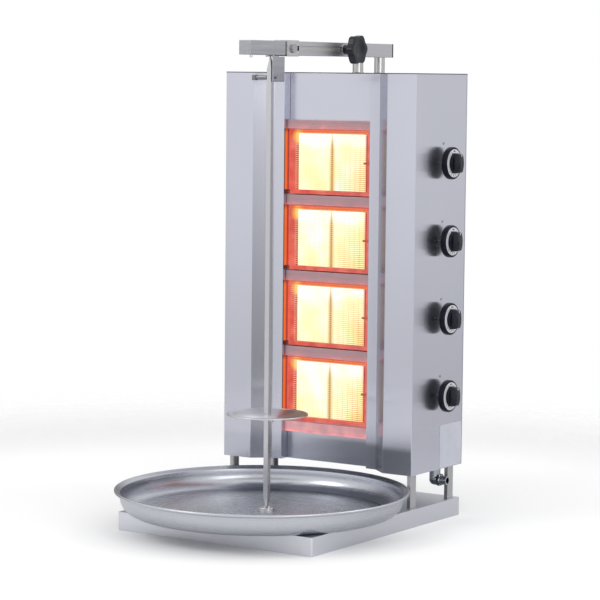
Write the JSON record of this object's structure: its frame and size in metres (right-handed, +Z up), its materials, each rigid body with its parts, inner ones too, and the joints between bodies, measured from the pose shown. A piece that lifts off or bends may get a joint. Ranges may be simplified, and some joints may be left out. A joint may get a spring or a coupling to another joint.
{
  "type": "doner kebab grill",
  "caption": "Upright gas doner grill: ceramic radiants in a steel casing, hanging spit on a sliding top arm, loose disc, round drip pan, side control knobs.",
  "frame": {"origin": "centre of the outline's bounding box, on the surface that the tray's lower edges rest on", "axes": "+Z up, the radiants face -Y, +X is the side with the control knobs, X = 0 is the spit's and arm's plane"},
  "size_m": [0.6664, 0.8488, 1.1146],
  "materials": {
    "casing_steel": "brushed stainless sheet",
    "dull_steel": "plain mill finish",
    "rail_steel": "brushed, warmed by the heat",
    "arm_steel": "brushed stainless tube",
    "bright_steel": "turned bright",
    "spit_steel": "ground bar",
    "pan_steel": "satin pressed sheet",
    "burner_frame": "heated frame, glowing red",
    "glowing_ceramic": "perforated ceramic, glowing",
    "hot_mesh": "heated wire mesh",
    "probe_steel": "heat tinted",
    "tube_iron": "as cast",
    "brass": "turned",
    "copper_pipe": "drawn copper tube",
    "black_plastic": "fine moulded grain",
    "dial_silver": "satin printed plate"
  },
  "bodies": {
    "root": {"base_tray": "casing_steel", "legs": "dull_steel", "left_shell": "casing_steel", "right_shell": "casing_steel", "back_panel": "casing_steel", "top_cover": "casing_steel", "casing_floor": "casing_steel", "upper_front": "casing_steel", "lower_front": "casing_steel", "back_screws": "bright_steel", "burner_1": "burner_frame", "burner_2": "burner_frame", "burner_3": "burner_frame", "burner_4": "burner_frame", "plaques": "glowing_ceramic", "heat_rails": "rail_steel", "mesh_screens": "hot_mesh", "thermocouples": "probe_steel", "mixing_tubes": "tube_iron", "injectors": "brass", "feed_pipes": "copper_pipe", "tap_bodies": "brass", "gas_rail": "dull_steel", "inlet_elbow": "dull_steel", "index_rivets": "bright_steel", "arm_stand": "arm_steel", "guide_sleeve": "arm_steel", "sleeve_collar": "arm_steel", "collar_bolt": "bright_steel", "sleeve_cap": "black_plastic"},
    "top_arm": {"arm": "arm_steel", "arm_head": "arm_steel", "head_bush": "brass", "clamp_nut": "bright_steel"},
    "pan": {"drip_pan": "pan_steel", "spit_cup": "pan_steel"},
    "turning_spit": {"hanger": "arm_steel", "spit": "spit_steel", "disc_pin": "bright_steel"},
    "locking_pin": {"lock_pin": "bright_steel"},
    "sliding_disc": {"meat_disc": "spit_steel"},
    "washer": {"clamp_washer": "bright_steel"},
    "clamp_knob": {"star_knob": "black_plastic", "clamp_screw": "bright_steel"},
    "tap_1": {"tap_plug_1": "brass"},
    "knob_set_1": {"knob_1": "black_plastic", "dial_1": "dial_silver", "tap_stem_1": "bright_steel"},
    "tap_2": {"tap_plug_2": "brass"},
    "knob_set_2": {"knob_2": "black_plastic", "dial_2": "dial_silver", "tap_stem_2": "bright_steel"},
    "tap_3": {"tap_plug_3": "brass"},
    "knob_set_3": {"knob_3": "black_plastic", "dial_3": "dial_silver", "tap_stem_3": "bright_steel"},
    "tap_4": {"tap_plug_4": "brass"},
    "knob_set_4": {"knob_4": "black_plastic", "dial_4": "dial_silver", "tap_stem_4": "bright_steel"}
  },
  "joints": [
    {"name": "arm_slide", "type": "slide", "parent": "root", "child": "top_arm", "axis": [0, -1, 0], "range_m": [0, 0.17]},
    {"name": "pan_slide", "type": "slide", "parent": "root", "child": "pan", "axis": [0, -1, 0], "range_m": [0, 0.17]},
    {"name": "spit_turn", "type": "hinge", "parent": "top_arm", "child": "turning_spit", "pos_m": [0, -0.07225, 1.0665], "axis": [0, 0, 1], "continuous": true},
    {"name": "lock_pin_pull", "type": "slide", "parent": "turning_spit", "child": "locking_pin", "axis": [-1, 0, 0], "range_m": [0, 0.03]},
    {"name": "disc_lift", "type": "slide", "parent": "turning_spit", "child": "sliding_disc", "axis": [0, 0, 1], "range_m": [0, 0.73]},
    {"name": "clamp_back", "type": "slide", "parent": "top_arm", "child": "washer", "axis": [1, 0, 0], "range_m": [0, 0.0016]},
    {"name": "clamp_turn", "type": "hinge", "parent": "washer", "child": "clamp_knob", "pos_m": [0.04, 0.20525, 1.0835], "axis": [1, 0, 0], "range_deg": [0, 360]},
    {"name": "tap_turn_1", "type": "hinge", "parent": "root", "child": "tap_1", "pos_m": [0.23, 0.24945, 0.8272], "axis": [1, 0, 0], "range_deg": [0, 180]},
    {"name": "knob_push_1", "type": "slide", "parent": "tap_1", "child": "knob_set_1", "axis": [-1, 0, 0], "range_m": [0, 0.003], "stiffness_N_per_m": 600, "springref_m": -0.004},
    {"name": "tap_turn_2", "type": "hinge", "parent": "root", "child": "tap_2", "pos_m": [0.23, 0.24945, 0.6489], "axis": [1, 0, 0], "range_deg": [0, 180]},
    {"name": "knob_push_2", "type": "slide", "parent": "tap_2", "child": "knob_set_2", "axis": [-1, 0, 0], "range_m": [0, 0.003], "stiffness_N_per_m": 600, "springref_m": -0.004},
    {"name": "tap_turn_3", "type": "hinge", "parent": "root", "child": "tap_3", "pos_m": [0.23, 0.24945, 0.4706], "axis": [1, 0, 0], "range_deg": [0, 180]},
    {"name": "knob_push_3", "type": "slide", "parent": "tap_3", "child": "knob_set_3", "axis": [-1, 0, 0], "range_m": [0, 0.003], "stiffness_N_per_m": 600, "springref_m": -0.004},
    {"name": "tap_turn_4", "type": "hinge", "parent": "root", "child": "tap_4", "pos_m": [0.23, 0.24945, 0.2923], "axis": [1, 0, 0], "range_deg": [0, 180]},
    {"name": "knob_push_4", "type": "slide", "parent": "tap_4", "child": "knob_set_4", "axis": [-1, 0, 0], "range_m": [0, 0.003], "stiffness_N_per_m": 600, "springref_m": -0.004}
  ],
  "couplings": [
    {"joint": "pan_slide", "follows": "arm_slide", "ratio": 1},
    {"joint": "clamp_back", "follows": "clamp_turn", "m_per_rad": 0.000239}
  ]
}
